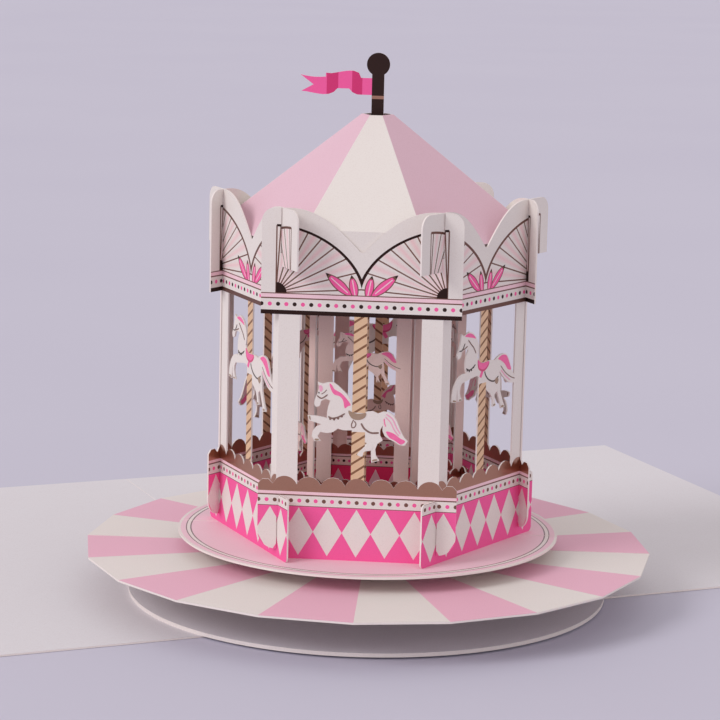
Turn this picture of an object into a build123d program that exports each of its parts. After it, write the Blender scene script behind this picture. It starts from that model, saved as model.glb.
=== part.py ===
from build123d import *
from math import atan, cos, floor, radians, sin, sqrt
import os

os.makedirs("parts", exist_ok=True)

# Pop up card: an opened card sheet carries a paper carousel that is slotted together from flat sheets.
# Millimetres and degrees. +X runs along the card's long edge, +Z is up, and the origin lies on the card's
# underside, straight below the carousel's axis.

# Card sheet, two leaves opened flat
LEAF_WIDTH = 203.0
LEAF_DEPTH = 203.0
SHEET_THICKNESS = 0.6
FRONT_REACH = 34.0
RIGHT_REACH = 176.0
SCORE_WIDTH = 0.6
SCORE_DEPTH = 0.15

# Round base, striped disc and floor plate, one above the other
BASE_RADIUS = 76.0
BASE_THICKNESS = 1.2
DISC_RADIUS = 90.0
DISC_EDGES = 20
DISC_THICKNESS = 0.6
DISC_RISE = 12.6
DISC_TURN = -25.4
PLATE_RADIUS = 60.4
PLATE_THICKNESS = 0.6
PLATE_RISE = 4.8

# Folded strips that hold the disc and the plate up
RISER_THICKNESS = 0.5
DISC_RISER_RADIUS = 46.0
PLATE_RISER_RADIUS = 42.0

# Six-sided rings of crossing panels
SIDES = 6
CAROUSEL_TWIST = -2.6
PANEL_THICKNESS = 0.5
SLOT_CLEARANCE = 0.1
FACET = 1.7

# Outer ring: drum, columns, canopy and pole, measured up from the floor plate. Every other panel has plain
# ends, and the panels between them have hooks that reach further through the plain ones' slots.
OUTER_RADIUS = 47.8
PLAIN_OVERRUN = 6.3
END_FOOT = 2.8
DRUM_HOOK_OVERRUN = 7.6
CANOPY_HOOK_OVERRUN = 11.4
END_ROUND = 5.5
HOOK_ROUND = 1.5
DRUM_LAP = 12.5
DRUM_HOOK_TOP = 19.7
CANOPY_LAP = 93.8
CANOPY_HOOK_BOTTOM = 89.6
DRUM_VALLEY = 23.1
DRUM_CREST = 25.6
SCALLOP_PITCH = 7.36
WINDOW_HALF_WIDTH = 18.3
COLUMN_OVERRUN = 0.8
CANOPY_BOTTOM = 75.2
CANOPY_PEAK = 107.3
CANOPY_DIP = 94.6
CANOPY_SHOULDER = 22.0
SHOULDER_HOLD = 9.0
DIP_HALF_WIDTH = 1.3
DIP_ROUND = 0.9
DIP_RUN = 6.2
DIP_RISE = 6.3
CANOPY_CORNER = 4.0
POLE_WIDTH = 4.0
LOW_HORSE = 45.0
HIGH_HORSE = 58.3
HORSE_SCALE = 1.0

# Inner ring, with a plain rail instead of a canopy
INNER_RADIUS = 29.6
INNER_OVERRUN = 3.4
INNER_DRUM_LAP = 10.8
RAIL_LAP = 79.5
INNER_DRUM_VALLEY = 20.0
INNER_DRUM_CREST = 21.6
INNER_SCALLOP_PITCH = 5.0
INNER_WINDOW_HALF_WIDTH = 9.7
RAIL_BOTTOM = 76.0
RAIL_TOP = 83.0
INNER_POLE_WIDTH = 2.4
INNER_LOW_HORSE = 36.0
INNER_HIGH_HORSE = 61.0
INNER_HORSE_SCALE = 0.6

# Roof, its ribs and the mast
ROOF_THICKNESS = 0.4
ROOF_CLEARANCE = 0.15
EAVES = 100.8
ROOF_TOP = 132.2
ROOF_TOP_RADIUS = 5.0
NARROW_FACE_ANGLE = 46.5
TAB_WIDTH = 30.0
TAB_DEPTH = 9.0
FLAP_WIDTH = 47.0
FLAP_END_WIDTH = 41.0
FLAP_OVERLAP = 1.0
RIB_THICKNESS = 0.5
MAST_RIB_REACH = 34.0
CROSS_RIB_REACH = 31.0
MAST_WIDTH = 3.8
FINIAL_LEVEL = 147.6
FINIAL_RADIUS = 3.6
FLAG_LEVEL = 138.1
FLAG_SCALE = 1.0

# Outlines of the horses and the flag. Each run is one smooth stretch that goes on from the end of the run
# before it. The horses look to the left, with the pole at u = 0 and the saddle at w = 0.
GALLOP_START = (-12.6, 10.0)
GALLOP_RUNS = [
    [(-11.3, 9.5), (-8.5, 10.2), (-5.6, 8.4), (-2.8, 5.4), (-2.0, 2.0)],
    [(0.0, 0.9), (2.0, 1.3), (5.8, 1.0)],
    [(7.9, 1.7), (9.8, 1.2), (11.3, -0.6), (12.5, -3.4), (15.0, -7.2)],
    [(13.0, -8.7), (11.0, -7.5), (9.0, -6.6), (7.3, -2.6)],
    [(6.5, -5.2), (7.4, -7.2)],
    [(5.6, -8.7), (5.4, -11.8), (6.5, -13.5)],
    [(4.1, -14.2)],
    [(4.0, -12.4), (3.9, -10.5)],
    [(1.8, -11.0), (1.4, -12.6)],
    [(-0.4, -12.1)],
    [(0.4, -10.4), (2.7, -8.3)],
    [(1.0, -6.9), (0.2, -4.9), (-3.0, -4.5), (-6.2, -4.1)],
    [(-7.4, -5.1), (-11.5, -5.3)],
    [(-12.3, -6.3), (-11.4, -8.1)],
    [(-13.3, -8.2)],
    [(-14.1, -6.0), (-13.2, -4.1), (-11.2, -3.0)],
    [(-15.0, -1.9)],
    [(-15.5, -0.4)],
    [(-13.0, -0.4), (-9.6, -1.0)],
    [(-9.5, 1.6), (-8.7, 4.4)],
    [(-10.4, 4.9), (-11.5, 4.1), (-11.8, 2.7)],
    [(-12.9, 2.2), (-13.6, 3.3)],
    [(-13.2, 5.2), (-12.3, 7.4), GALLOP_START],
]
LEAP_START = (-12.5, 11.1)
LEAP_RUNS = [
    [(-10.6, 10.4), (-8.4, 11.3), (-5.4, 10.2), (-3.2, 7.6), (-3.4, 2.8)],
    [(0.0, 0.7), (3.5, 0.9), (6.6, 0.5)],
    [(10.8, 2.0), (13.6, 1.5), (15.4, -1.0), (17.4, -4.8), (19.8, -6.4)],
    [(19.0, -7.9), (16.6, -8.0), (12.6, -6.0), (9.6, -3.3)],
    [(10.1, -6.0), (10.3, -9.2)],
    [(11.5, -12.0), (13.3, -15.1)],
    [(11.2, -15.4)],
    [(9.7, -11.8), (8.5, -9.4)],
    [(7.2, -10.1), (7.4, -12.2), (8.1, -13.9)],
    [(6.3, -14.2)],
    [(5.7, -10.9), (4.4, -9.4)],
    [(1.6, -7.4), (-0.4, -4.8), (-3.6, -3.0)],
    [(-8.0, -3.6), (-11.6, -4.2)],
    [(-12.6, -6.0), (-11.2, -9.5)],
    [(-13.2, -9.6)],
    [(-14.0, -7.6), (-14.0, -5.6)],
    [(-14.4, -7.6), (-14.5, -9.7)],
    [(-16.9, -9.3)],
    [(-16.4, -5.8), (-14.8, -3.2), (-9.3, -1.4)],
    [(-10.0, 1.2), (-9.6, 3.6), (-8.4, 5.9)],
    [(-10.4, 6.1), (-12.0, 5.6), (-12.6, 4.0)],
    [(-14.0, 3.4), (-14.6, 4.9)],
    [(-13.5, 6.8), (-12.8, 9.0), LEAP_START],
]

# The flag flies to the left of the mast's edge, at u = 0, and its lower corner there is at w = 0.
FLAG_START = (0.5, 0.0)
FLAG_RUNS = [
    [(0.5, 5.2)],
    [(-3.4, 5.2)],
    [(-3.8, 6.4), (-9.0, 7.1), (-14.4, 6.5)],
    [(-14.4, 5.3)],
    [(-18.6, 5.2), (-22.3, 5.8)],
    [(-18.2, 2.8)],
    [(-22.0, 0.7)],
    [(-16.4, -0.1), (-12.2, 0.4), (-10.7, 1.8)],
    [(-7.1, 1.8)],
    [(-5.6, 0.4), (-3.0, 0.0)],
    [FLAG_START],
]

# Levels and angles that follow from the sizes above
BASE_TOP = SHEET_THICKNESS + BASE_THICKNESS
DISC_UNDER = BASE_TOP + DISC_RISE
DISC_TOP = DISC_UNDER + DISC_THICKNESS
PLATE_UNDER = DISC_TOP + PLATE_RISE
PLATE_TOP = PLATE_UNDER + PLATE_THICKNESS
CAROUSEL_TURN = DISC_TURN + CAROUSEL_TWIST
SIDE_ANGLE = 360 / SIDES
HALF_SIDE = radians(SIDE_ANGLE / 2)
FRONT_ANGLE = CAROUSEL_TURN - 90
PLACES = ["front", "front_right", "back_right", "back", "back_left", "front_left"]

# A slot is as wide as the sheet that crosses it on the slant, with clearance on both sides
CROSSING = radians(SIDE_ANGLE)
SLOT_WIDTH = PANEL_THICKNESS * (1 + cos(CROSSING)) / sin(CROSSING) + 2 * SLOT_CLEARANCE


def side_plane(apothem, angle):
    """Upright plane that faces outwards at an angle, with X along the side and Y up from the plate."""
    outward = Vector(cos(radians(angle)), sin(radians(angle)))
    along = Vector(-sin(radians(angle)), cos(radians(angle)))
    return Plane(origin=outward * apothem + Vector(0, 0, PLATE_TOP), x_dir=along, z_dir=outward)


def facets(curve):
    """Straight facets that follow a curve, so that a cut sheet stays light."""
    count = max(2, round(curve.length / FACET))
    return Polyline(*[curve @ (i / count) for i in range(count + 1)])


def scalloped_drum(half_width, valley, crest, pitch):
    """Drum of one panel: a straight foot and ends, and a row of scallops along the top edge."""
    count = 2 * floor(half_width / pitch - 0.5) + 1
    valleys = [half_width] + [(count / 2 - i) * pitch for i in range(count + 1)] + [-half_width]
    with BuildSketch() as drum:
        with BuildLine():
            Polyline((-half_width, valley), (-half_width, 0), (half_width, 0), (half_width, valley))
            for right, left in zip(valleys, valleys[1:]):
                top = valley + (crest - valley) * (right - left) / pitch
                facets(ThreePointArc((right, valley), ((right + left) / 2, top), (left, valley),
                                     mode=Mode.PRIVATE))
        make_face()
    return drum.sketch


def canopy(half_width):
    """Canopy of one outer panel: two shoulders that sweep down to a rounded dip in the middle."""
    dip_end = CANOPY_DIP + DIP_ROUND
    with BuildSketch() as face:
        with BuildLine():
            Polyline((0, CANOPY_BOTTOM), (half_width, CANOPY_BOTTOM), (half_width, CANOPY_PEAK),
                     (CANOPY_SHOULDER, CANOPY_PEAK))
            facets(Bezier((CANOPY_SHOULDER, CANOPY_PEAK), (CANOPY_SHOULDER - SHOULDER_HOLD, CANOPY_PEAK),
                          (DIP_HALF_WIDTH + DIP_RUN, dip_end + DIP_RISE), (DIP_HALF_WIDTH, dip_end),
                          mode=Mode.PRIVATE))
            facets(RadiusArc((DIP_HALF_WIDTH, dip_end), (0, CANOPY_DIP),
                             (DIP_HALF_WIDTH**2 + DIP_ROUND**2) / (2 * DIP_ROUND), mode=Mode.PRIVATE))
            Line((0, CANOPY_DIP), (0, CANOPY_BOTTOM))
        make_face()
        corner = face.vertices().group_by(Axis.Y)[-1].sort_by(Axis.X)[-1]
        fillet(corner, CANOPY_CORNER)
        mirror(about=Plane.YZ)
    return face.sketch


def plain_panel(crossing):
    """Drum and canopy with plain ends; the drum's ends are lifted off the plate and rounded below."""
    half_width = crossing + PLAIN_OVERRUN
    with BuildSketch() as face:
        add(scalloped_drum(half_width, DRUM_VALLEY, DRUM_CREST, SCALLOP_PITCH))
        with Locations((-half_width, 0), (half_width, 0)):
            Rectangle(2 * PLAIN_OVERRUN, END_FOOT, align=(Align.CENTER, Align.MIN), mode=Mode.SUBTRACT)
        for end in (0, -1):
            fillet(face.vertices().group_by(Axis.X)[end].sort_by(Axis.Y)[0], END_ROUND)
        add(canopy(half_width))
    return face.sketch


def hooked_panel(crossing):
    """Drum and canopy that end at the crossings, with a low hook at the drum and a high one at the canopy."""
    cut = CANOPY_HOOK_BOTTOM - CANOPY_BOTTOM
    with BuildSketch() as face:
        Rectangle(2 * (crossing + DRUM_HOOK_OVERRUN), DRUM_HOOK_TOP, align=(Align.CENTER, Align.MIN))
        fillet(face.vertices(), HOOK_ROUND)
        add(scalloped_drum(crossing, DRUM_VALLEY, DRUM_CREST, SCALLOP_PITCH))
        add(canopy(crossing + CANOPY_HOOK_OVERRUN))
        with Locations((-crossing - CANOPY_HOOK_OVERRUN, CANOPY_HOOK_BOTTOM),
                       (crossing + CANOPY_HOOK_OVERRUN, CANOPY_HOOK_BOTTOM)):
            Rectangle(2 * CANOPY_HOOK_OVERRUN, cut, align=(Align.CENTER, Align.MAX), mode=Mode.SUBTRACT)
    return face.sketch


def silhouette(start, runs, scale, level, middle=0):
    """Cut-out from an outline's runs, scaled and set at a level and beside the middle."""
    with BuildSketch() as face:
        with BuildLine():
            last = start
            for run in runs:
                points = [(middle + scale * u, level + scale * w) for u, w in [last] + run]
                if len(points) == 2:
                    Line(*points)
                else:
                    facets(Spline(*points, mode=Mode.PRIVATE))
                last = run[-1]
        make_face()
    return face.sketch


def uprights(window, reach, pole_width, foot, head):
    """Two columns, each from the window's edge out to its reach, and the pole between them."""
    middle = (window + reach) / 2
    with BuildSketch() as face:
        with Locations((0, foot)):
            Rectangle(pole_width, head - foot, align=(Align.CENTER, Align.MIN))
        with Locations((-middle, foot), (middle, foot)):
            Rectangle(reach - window, head - foot, align=(Align.CENTER, Align.MIN))
    return face.sketch


def lap_slots(crossing, low_span, high_span):
    """Half-lap slots at both crossings, over a span of heights in the drum and one in the head."""
    with BuildSketch() as face:
        for low, high in (low_span, high_span):
            with Locations((-crossing, low - SLOT_CLEARANCE), (crossing, low - SLOT_CLEARANCE)):
                Rectangle(SLOT_WIDTH, high - low + 2 * SLOT_CLEARANCE, align=(Align.CENTER, Align.MIN))
    return face.sketch


# Card sheet, with the score of its fold
with BuildPart() as card_sheet:
    with BuildSketch():
        with Locations((RIGHT_REACH, -FRONT_REACH)):
            Rectangle(2 * LEAF_WIDTH, LEAF_DEPTH, align=(Align.MAX, Align.MIN))
    extrude(amount=SHEET_THICKNESS)
    with BuildSketch(Plane.XY.offset(SHEET_THICKNESS)):
        with Locations((RIGHT_REACH - LEAF_WIDTH, -FRONT_REACH)):
            Rectangle(SCORE_WIDTH, LEAF_DEPTH, align=(Align.CENTER, Align.MIN))
    extrude(amount=-SCORE_DEPTH, mode=Mode.SUBTRACT)
card_sheet.part.label = "card_sheet"
export_step(card_sheet.part, "parts/card_sheet.step")

# Round base, a thick board
with BuildPart() as round_base:
    with BuildSketch(Plane.XY.offset(SHEET_THICKNESS)):
        Circle(BASE_RADIUS)
    extrude(amount=BASE_THICKNESS)
round_base.part.label = "round_base"
export_step(round_base.part, "parts/round_base.step")

# Six-sided strip under the striped disc
with BuildPart() as disc_riser:
    with BuildSketch(Plane.XY.offset(BASE_TOP)):
        RegularPolygon(DISC_RISER_RADIUS, SIDES, rotation=DISC_TURN)
        RegularPolygon(DISC_RISER_RADIUS - RISER_THICKNESS / cos(HALF_SIDE), SIDES, rotation=DISC_TURN,
                       mode=Mode.SUBTRACT)
    extrude(amount=DISC_RISE)
disc_riser.part.label = "disc_riser"
export_step(disc_riser.part, "parts/disc_riser.step")

# Striped disc, straight between its corners, with the score of its fold
with BuildPart() as striped_disc:
    with BuildSketch(Plane.XY.offset(DISC_UNDER)):
        RegularPolygon(DISC_RADIUS, DISC_EDGES, rotation=DISC_TURN)
    extrude(amount=DISC_THICKNESS)
    with BuildSketch(Plane.XY.offset(DISC_TOP)):
        Rectangle(2 * DISC_RADIUS, SCORE_WIDTH, rotation=DISC_TURN)
    extrude(amount=-SCORE_DEPTH, mode=Mode.SUBTRACT)
striped_disc.part.label = "striped_disc"
export_step(striped_disc.part, "parts/striped_disc.step")

# Low six-sided strip under the floor plate
with BuildPart() as plate_riser:
    with BuildSketch(Plane.XY.offset(DISC_TOP)):
        RegularPolygon(PLATE_RISER_RADIUS, SIDES, rotation=CAROUSEL_TURN)
        RegularPolygon(PLATE_RISER_RADIUS - RISER_THICKNESS / cos(HALF_SIDE), SIDES, rotation=CAROUSEL_TURN,
                       mode=Mode.SUBTRACT)
    extrude(amount=PLATE_RISE)
plate_riser.part.label = "plate_riser"
export_step(plate_riser.part, "parts/plate_riser.step")

# Floor plate, with the score of its fold
with BuildPart() as floor_plate:
    with BuildSketch(Plane.XY.offset(PLATE_UNDER)):
        Circle(PLATE_RADIUS)
    extrude(amount=PLATE_THICKNESS)
    with BuildSketch(Plane.XY.offset(PLATE_TOP)):
        Rectangle(2 * PLATE_RADIUS, SCORE_WIDTH, rotation=CAROUSEL_TURN)
    extrude(amount=-SCORE_DEPTH, mode=Mode.SUBTRACT)
floor_plate.part.label = "floor_plate"
export_step(floor_plate.part, "parts/floor_plate.step")

# Outer panels, each one die-cut sheet. Plain panels slot over the hooked ones at the drum, and the hooked
# panels slot over the plain ones at the canopy.
outer_apothem = OUTER_RADIUS * cos(HALF_SIDE)
outer_crossing = OUTER_RADIUS * sin(HALF_SIDE)
plain_slots = lap_slots(outer_crossing, (0, DRUM_LAP), (CANOPY_LAP, CANOPY_PEAK))
hooked_slots = lap_slots(outer_crossing, (DRUM_LAP, DRUM_CREST), (CANOPY_BOTTOM, CANOPY_LAP))
plain_reach = outer_crossing + COLUMN_OVERRUN
hooked_reach = outer_crossing - SLOT_WIDTH / 2
plain_uprights = uprights(WINDOW_HALF_WIDTH, plain_reach, POLE_WIDTH, DRUM_VALLEY, CANOPY_BOTTOM)
hooked_uprights = uprights(WINDOW_HALF_WIDTH, hooked_reach, POLE_WIDTH, DRUM_VALLEY, CANOPY_BOTTOM)
low_horse = silhouette(GALLOP_START, GALLOP_RUNS, HORSE_SCALE, LOW_HORSE)
high_horse = silhouette(LEAP_START, LEAP_RUNS, HORSE_SCALE, HIGH_HORSE)
for index, place in enumerate(PLACES):
    hooked = index % 2 == 1
    with BuildPart() as outer_panel:
        with BuildSketch(side_plane(outer_apothem - PANEL_THICKNESS / 2, FRONT_ANGLE + index * SIDE_ANGLE)):
            add(hooked_panel(outer_crossing) if hooked else plain_panel(outer_crossing))
            add(hooked_uprights if hooked else plain_uprights)
            add(high_horse if hooked else low_horse)
            add(hooked_slots if hooked else plain_slots, mode=Mode.SUBTRACT)
        extrude(amount=PANEL_THICKNESS)
    outer_panel.part.label = f"outer_panel_{place}"
    export_step(outer_panel.part, f"parts/outer_panel_{place}.step")

# Inner panels, smaller and with plain half-laps, with the horses' levels the other way round
inner_apothem = INNER_RADIUS * cos(HALF_SIDE)
inner_crossing = INNER_RADIUS * sin(HALF_SIDE)
inner_half_width = inner_crossing + INNER_OVERRUN
inner_drum = scalloped_drum(inner_half_width, INNER_DRUM_VALLEY, INNER_DRUM_CREST, INNER_SCALLOP_PITCH)
lower_slots = lap_slots(inner_crossing, (0, INNER_DRUM_LAP), (RAIL_LAP, RAIL_TOP))
upper_slots = lap_slots(inner_crossing, (INNER_DRUM_LAP, INNER_DRUM_CREST), (RAIL_BOTTOM, RAIL_LAP))
inner_reach = inner_crossing - SLOT_WIDTH / 2
inner_uprights = uprights(INNER_WINDOW_HALF_WIDTH, inner_reach, INNER_POLE_WIDTH, INNER_DRUM_VALLEY,
                          RAIL_BOTTOM)
inner_high_horse = silhouette(LEAP_START, LEAP_RUNS, INNER_HORSE_SCALE, INNER_HIGH_HORSE)
inner_low_horse = silhouette(GALLOP_START, GALLOP_RUNS, INNER_HORSE_SCALE, INNER_LOW_HORSE)
for index, place in enumerate(PLACES):
    over = index % 2 == 0
    with BuildPart() as inner_panel:
        with BuildSketch(side_plane(inner_apothem - PANEL_THICKNESS / 2, FRONT_ANGLE + index * SIDE_ANGLE)):
            add(inner_drum)
            add(inner_uprights)
            with Locations((0, RAIL_BOTTOM)):
                Rectangle(2 * inner_half_width, RAIL_TOP - RAIL_BOTTOM, align=(Align.CENTER, Align.MIN))
            add(inner_high_horse if over else inner_low_horse)
            add(lower_slots if over else upper_slots, mode=Mode.SUBTRACT)
        extrude(amount=PANEL_THICKNESS)
    inner_panel.part.label = f"inner_panel_{place}"
    export_step(inner_panel.part, f"parts/inner_panel_{place}.step")

# Roof: narrow and wide faces in turn round an open top. The narrow faces end in tabs inside the plain panels,
# and the wide ones run on as flaps to the hooked panels.
narrow_half = radians(NARROW_FACE_ANGLE / 2)
wide_half = 2 * HALF_SIDE - narrow_half
eaves_apothem = outer_apothem - PANEL_THICKNESS / 2 - ROOF_CLEARANCE
eaves_radius = eaves_apothem / cos(narrow_half)
roof_run = eaves_radius - ROOF_TOP_RADIUS
roof_rise = ROOF_TOP - EAVES
narrow_slope = roof_rise / (roof_run * cos(narrow_half))
wide_slope = roof_rise / (roof_run * cos(wide_half))
roof_drop = ROOF_THICKNESS * sqrt(1 + wide_slope**2)


def face_plane(index, level):
    """Plane of one leaning face, with its origin in the face's middle at a level and Y up the slope."""
    face_half, slope = (narrow_half, narrow_slope) if index % 2 == 0 else (wide_half, wide_slope)
    apothem = (ROOF_TOP_RADIUS + (ROOF_TOP - level) * roof_run / roof_rise) * cos(face_half)
    upright = side_plane(apothem, FRONT_ANGLE + index * SIDE_ANGLE)
    outward = upright.z_dir * sin(atan(slope)) + Vector(0, 0, cos(atan(slope)))
    return Plane(origin=upright.origin + Vector(0, 0, level), x_dir=upright.x_dir, z_dir=outward)


def roof_block(inset):
    """Block between the eaves and the top, cut by the six leaning faces after they are moved inwards."""
    with BuildPart() as block:
        with BuildSketch(Plane.XY.offset(PLATE_TOP + EAVES)):
            RegularPolygon(2 * eaves_radius, SIDES)
        extrude(amount=roof_rise)
        for index in range(SIDES):
            split(bisect_by=face_plane(index, EAVES).offset(-inset), keep=Keep.BOTTOM)
    return block.part


def under_roof(reach, face_half, face_slope):
    """Height that clears the roof's underside, at a distance from the axis towards the middle of a face."""
    return ROOF_TOP - (reach - ROOF_TOP_RADIUS * cos(face_half)) * face_slope - roof_drop - ROOF_CLEARANCE


flap_length = (eaves_apothem - eaves_radius * cos(wide_half)) / cos(atan(wide_slope))
with BuildPart() as roof:
    add(roof_block(0))
    add(roof_block(ROOF_THICKNESS), mode=Mode.SUBTRACT)
    for index in range(0, SIDES, 2):
        with BuildSketch(side_plane(eaves_apothem, FRONT_ANGLE + index * SIDE_ANGLE)):
            with Locations((0, EAVES)):
                Rectangle(TAB_WIDTH, TAB_DEPTH, align=(Align.CENTER, Align.MAX))
        extrude(amount=-ROOF_THICKNESS)
    for index in range(1, SIDES, 2):
        with BuildSketch(face_plane(index, EAVES)):
            Polygon((-FLAP_WIDTH / 2, FLAP_OVERLAP), (FLAP_WIDTH / 2, FLAP_OVERLAP),
                    (FLAP_END_WIDTH / 2, -flap_length), (-FLAP_END_WIDTH / 2, -flap_length), align=None)
        extrude(amount=-ROOF_THICKNESS)
roof.part.label = "roof"
export_step(roof.part, "parts/roof.step")

# Mast: finial, flag and strip, with a broad foot that stands on the inner ring under the roof's wide faces
mast_reach = MAST_RIB_REACH * cos(HALF_SIDE) + RIB_THICKNESS / 2 * sin(HALF_SIDE)
mast_side = under_roof(mast_reach, wide_half, wide_slope)
front_side = under_roof(CROSS_RIB_REACH, narrow_half, narrow_slope)
back_side = under_roof(CROSS_RIB_REACH, wide_half, wide_slope)
rib_top = ROOF_TOP - roof_drop - ROOF_CLEARANCE
rib_slot = RIB_THICKNESS + 2 * SLOT_CLEARANCE
rib_half = (RAIL_TOP + rib_top) / 2
with BuildPart() as mast:
    with BuildSketch(side_plane(-RIB_THICKNESS / 2, FRONT_ANGLE)):
        Polygon((-MAST_RIB_REACH, RAIL_TOP), (MAST_RIB_REACH, RAIL_TOP), (MAST_RIB_REACH, mast_side),
                (MAST_WIDTH / 2, rib_top), (-MAST_WIDTH / 2, rib_top), (-MAST_RIB_REACH, mast_side),
                align=None)
        with Locations((0, RAIL_TOP)):
            Rectangle(MAST_WIDTH, FINIAL_LEVEL - RAIL_TOP, align=(Align.CENTER, Align.MIN))
        with Locations((0, FINIAL_LEVEL)):
            Circle(FINIAL_RADIUS)
        add(silhouette(FLAG_START, FLAG_RUNS, FLAG_SCALE, FLAG_LEVEL, -MAST_WIDTH / 2))
        with Locations((0, RAIL_TOP)):
            Rectangle(rib_slot, rib_half - RAIL_TOP + SLOT_CLEARANCE, align=(Align.CENTER, Align.MIN),
                      mode=Mode.SUBTRACT)
    extrude(amount=RIB_THICKNESS)
mast.part.label = "mast"
export_step(mast.part, "parts/mast.step")

# Cross rib: stands on the inner ring, laps the mast's foot and holds the roof under a narrow and a wide face
with BuildPart() as roof_rib:
    with BuildSketch(side_plane(-RIB_THICKNESS / 2, FRONT_ANGLE + 90)):
        Polygon((-CROSS_RIB_REACH, RAIL_TOP), (CROSS_RIB_REACH, RAIL_TOP), (CROSS_RIB_REACH, back_side),
                (ROOF_TOP_RADIUS * cos(wide_half), rib_top), (-ROOF_TOP_RADIUS * cos(narrow_half), rib_top),
                (-CROSS_RIB_REACH, front_side), align=None)
        with Locations((0, rib_top)):
            Rectangle(rib_slot, rib_top - rib_half + SLOT_CLEARANCE, align=(Align.CENTER, Align.MAX),
                      mode=Mode.SUBTRACT)
    extrude(amount=RIB_THICKNESS)
roof_rib.part.label = "roof_rib"
export_step(roof_rib.part, "parts/roof_rib.step")
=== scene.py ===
from math import cos, hypot, radians, sin

import bmesh
import bpy
from bpy.props import FloatProperty, FloatVectorProperty, PointerProperty
from mathutils import Matrix, Vector
from mathutils.geometry import interpolate_bezier


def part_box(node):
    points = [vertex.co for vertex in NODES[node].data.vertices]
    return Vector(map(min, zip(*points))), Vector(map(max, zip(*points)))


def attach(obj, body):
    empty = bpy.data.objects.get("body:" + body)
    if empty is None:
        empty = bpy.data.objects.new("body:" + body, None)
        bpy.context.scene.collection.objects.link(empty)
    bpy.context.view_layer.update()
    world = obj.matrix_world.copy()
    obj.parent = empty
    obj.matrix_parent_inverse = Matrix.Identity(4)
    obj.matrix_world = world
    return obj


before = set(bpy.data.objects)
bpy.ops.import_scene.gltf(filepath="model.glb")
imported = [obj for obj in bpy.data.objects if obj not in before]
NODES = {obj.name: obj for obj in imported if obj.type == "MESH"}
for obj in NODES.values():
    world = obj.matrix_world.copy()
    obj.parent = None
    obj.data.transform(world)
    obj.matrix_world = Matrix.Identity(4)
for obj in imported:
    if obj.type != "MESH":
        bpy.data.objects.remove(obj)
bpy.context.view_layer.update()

bl_info = {
    "name": "Carousel Pop Up Card",
    "version": (1, 0, 0),
    "blender": (4, 5, 0),
    "location": "View3D > Sidebar > Pop Up Card",
    "description": "Prints, foil and paper for a pop up card with a slotted paper carousel, and its stage",
    "category": "Object",
}

MM = 0.001
PLATE_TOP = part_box("floor_plate")[1].z
DISC_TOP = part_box("striped_disc")[1].z
PLATE_RADIUS = (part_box("floor_plate")[1].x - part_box("floor_plate")[0].x) / 2
PLACES = ["front", "front_right", "back_right", "back", "back_left", "front_left"]
SIDE_ANGLE = 360 / len(PLACES)
DISC_TURN = -25.4
CAROUSEL_TURN = -28.0
FRONT_ANGLE = CAROUSEL_TURN - 90
PANEL_THICKNESS = 0.5

# A surface faces a direction where its normal reaches further than this along it
FACING = 0.5
UP = (0, 0, 1)


def srgb(red, green, blue):
    """Linear colour of a colour that is written as it looks, in parts of 255."""
    return tuple((v / 12.92 if v <= 0.04045 else ((v + 0.055) / 1.055) ** 2.4)
                 for v in (red / 255, green / 255, blue / 255))


def colour_property(label, description, default):
    """Colour in a property group."""
    return FloatVectorProperty(name=label, description=description, default=default, subtype="COLOR",
                               size=3, min=0.0, max=1.0)


def length_property(label, description, default):
    """Length in a property group, in metres."""
    return FloatProperty(name=label, description=description, default=default, min=0.0, subtype="DISTANCE")


class CarouselInks(bpy.types.PropertyGroup):
    """Colours of the papers, inks and foils."""
    white: colour_property("White", "Face of the white card", srgb(234, 226, 222))
    card_white: colour_property("Card white", "Face of the card's leaves and the round base",
                                srgb(226, 221, 226))
    # Warm white is the white card tinted pink: painted pink bounce light and shade inside the carousel
    pink_lit_white: colour_property("Warm white", "Face of the inner panels", srgb(242, 214, 207))
    core: colour_property("Cut edge", "Core of the card where it is cut, and face of the strips and the rib",
                          srgb(240, 230, 227))
    hot_pink: colour_property("Hot pink", "Ink of the outer drums, dots, leaves, manes and flag",
                              srgb(247, 97, 164))
    deep_pink: colour_property("Deep pink", "Ink of the flag's folds and the pink saddles' edges",
                               srgb(214, 54, 118))
    # Crimson is the inner drums' pink print made deeper: painted shade inside the carousel
    shaded_crimson: colour_property("Crimson", "Ink of the inner drums", srgb(242, 56, 116))
    rose: colour_property("Rose", "Ink of the forelocks and tail strands", srgb(240, 164, 196))
    pale_pink: colour_property("Pale pink", "Ink of the pale rows, the inner diamonds and the leaves' veins",
                               srgb(246, 208, 218))
    blush: colour_property("Blush", "Ink in the middle of the fans' wedges", srgb(240, 206, 208))
    plate_pink: colour_property("Plate pink", "Ink of the floor plate", srgb(238, 202, 214))
    roof_pink: colour_property("Roof pink", "Ink of the roof's wide faces", srgb(230, 192, 206))
    disc_pink: colour_property("Disc pink", "Ink of every other disc sector", srgb(238, 184, 204))
    # On the plain canopies' hubs, arches and strip this ink paints the foil's dark reflection
    dark: colour_property("Dark brown", "Ink of the mast and the plain canopies' hubs and arches",
                          srgb(48, 27, 22))
    # On the hooked canopies' hubs, arches and strip this ink paints the same foil lighter brown, a painted
    # reflection
    line: colour_property("Line brown", "Ink of thin lines, ribs and the hooked canopies' hubs and arches",
                          srgb(118, 82, 72))
    saddle: colour_property("Saddle brown", "Ink of the galloping horses' saddles and of the hooves",
                            srgb(158, 130, 108))
    foil: colour_property("Foil", "Rose gold foil of the scallops and the mast's ring", srgb(186, 140, 118))
    rope: colour_property("Rope", "Light turns of the poles", srgb(232, 196, 160))
    rope_shade: colour_property("Rope shade", "Dark turns of the poles", srgb(140, 100, 74))


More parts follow.
